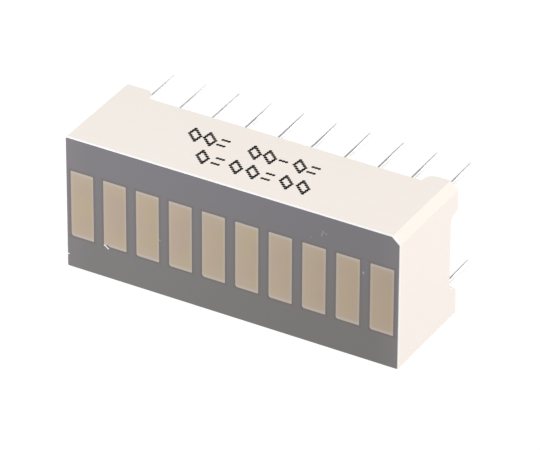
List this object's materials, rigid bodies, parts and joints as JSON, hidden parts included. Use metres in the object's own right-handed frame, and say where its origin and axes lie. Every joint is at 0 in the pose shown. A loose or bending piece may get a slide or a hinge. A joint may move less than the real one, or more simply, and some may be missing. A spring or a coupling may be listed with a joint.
{
  "type": "led bar graph display",
  "caption": "Row of cast resin light bars in a white moulded housing with a grey face, a cut corner, corner feet and two rows of straight wire pins.",
  "frame": {"origin": "middle of the pattern of twenty pins, in the plane of the four feet that meet the circuit board", "axes": "+X along the row of light bars towards the cut corner, +Y out of the back along the pins, +Z across the row; it lies on its lower long side as stored"},
  "size_m": [0.0254, 0.0123, 0.0102],
  "materials": {
    "housing_white": "moulded, satin",
    "coat_grey": "thin printed coat, satin",
    "resin_tan": "cast resin, milky",
    "board": "glass-filled laminate",
    "copper": "etched copper",
    "solder": "soft solder",
    "pin_tin": "tinned wire",
    "lamp_chip": "semiconductor chip",
    "gold_wire": "drawn wire"
  },
  "bodies": {
    "root": {"housing": "housing_white", "face_coat": "coat_grey", "resin_casting": "resin_tan", "circuit_board": "board", "front_tracks": "copper", "rear_lands": "copper", "solder_joints": "solder", "pin_01": "pin_tin", "pin_02": "pin_tin", "pin_03": "pin_tin", "pin_04": "pin_tin", "pin_05": "pin_tin", "pin_06": "pin_tin", "pin_07": "pin_tin", "pin_08": "pin_tin", "pin_09": "pin_tin", "pin_10": "pin_tin", "pin_11": "pin_tin", "pin_12": "pin_tin", "pin_13": "pin_tin", "pin_14": "pin_tin", "pin_15": "pin_tin", "pin_16": "pin_tin", "pin_17": "pin_tin", "pin_18": "pin_tin", "pin_19": "pin_tin", "pin_20": "pin_tin", "led_chip_01": "lamp_chip", "led_chip_02": "lamp_chip", "led_chip_03": "lamp_chip", "led_chip_04": "lamp_chip", "led_chip_05": "lamp_chip", "led_chip_06": "lamp_chip", "led_chip_07": "lamp_chip", "led_chip_08": "lamp_chip", "led_chip_09": "lamp_chip", "led_chip_10": "lamp_chip", "bond_wire_01": "gold_wire", "bond_wire_02": "gold_wire", "bond_wire_03": "gold_wire", "bond_wire_04": "gold_wire", "bond_wire_05": "gold_wire", "bond_wire_06": "gold_wire", "bond_wire_07": "gold_wire", "bond_wire_08": "gold_wire", "bond_wire_09": "gold_wire", "bond_wire_10": "gold_wire"}
  },
  "joints": []
}
